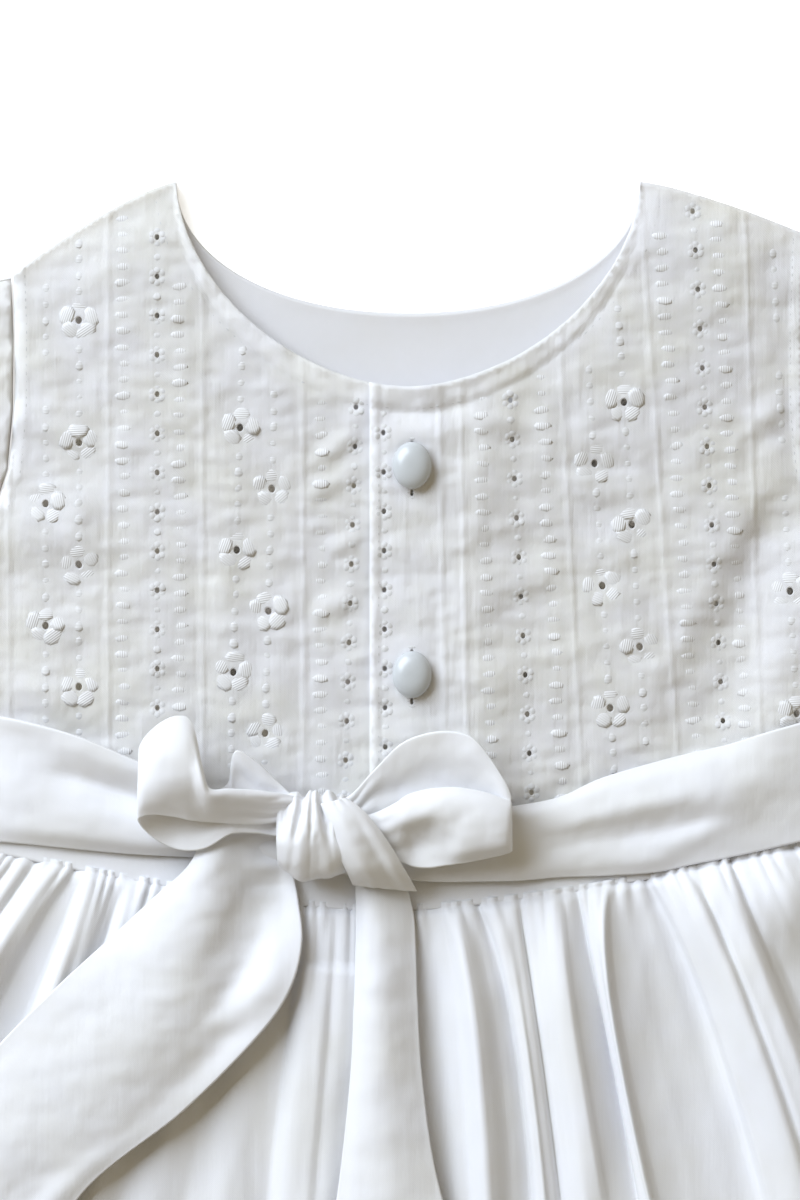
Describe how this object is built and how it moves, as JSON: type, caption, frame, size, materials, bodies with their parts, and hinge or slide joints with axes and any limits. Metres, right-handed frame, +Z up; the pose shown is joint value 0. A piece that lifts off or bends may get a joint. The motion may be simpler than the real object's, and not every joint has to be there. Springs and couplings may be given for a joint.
{
  "type": "christening gown",
  "caption": "Baby's christening gown laid flat: embroidered bodice buttoned down the front, short sleeves, gathered skirt, sash tied in a bow.",
  "frame": {"origin": "middle of the box in X and Y, on the surface that the gown lies on", "axes": "+Y up the gown from hem to neck, +X towards the wearer's left, +Z up out of the front"},
  "size_m": [0.5066, 0.7096, 0.0268],
  "materials": {
    "embroidered_cotton": "white cotton with eyelets, satin-stitch flowers and pin tucks",
    "lawn": "plain fine white cotton",
    "poplin": "smooth white cotton poplin",
    "pearl_button": "domed, pearly, semi-gloss"
  },
  "bodies": {
    "root": {"back_bodice": "embroidered_cotton", "back_neck_facing": "lawn", "front_bodice_left": "embroidered_cotton", "front_bodice_right": "embroidered_cotton", "sleeve_left": "embroidered_cotton", "sleeve_right": "embroidered_cotton", "waistband_front": "poplin", "waistband_back": "poplin", "skirt_front": "poplin", "skirt_back": "poplin", "sash_left": "poplin", "sash_right": "poplin", "bow_knot": "poplin", "bow_strand": "poplin", "bow_loop_left": "poplin", "bow_loop_right": "poplin", "bow_tail_left": "poplin", "bow_tail_right": "poplin", "button_upper": "pearl_button", "button_lower": "pearl_button"}
  },
  "joints": []
}
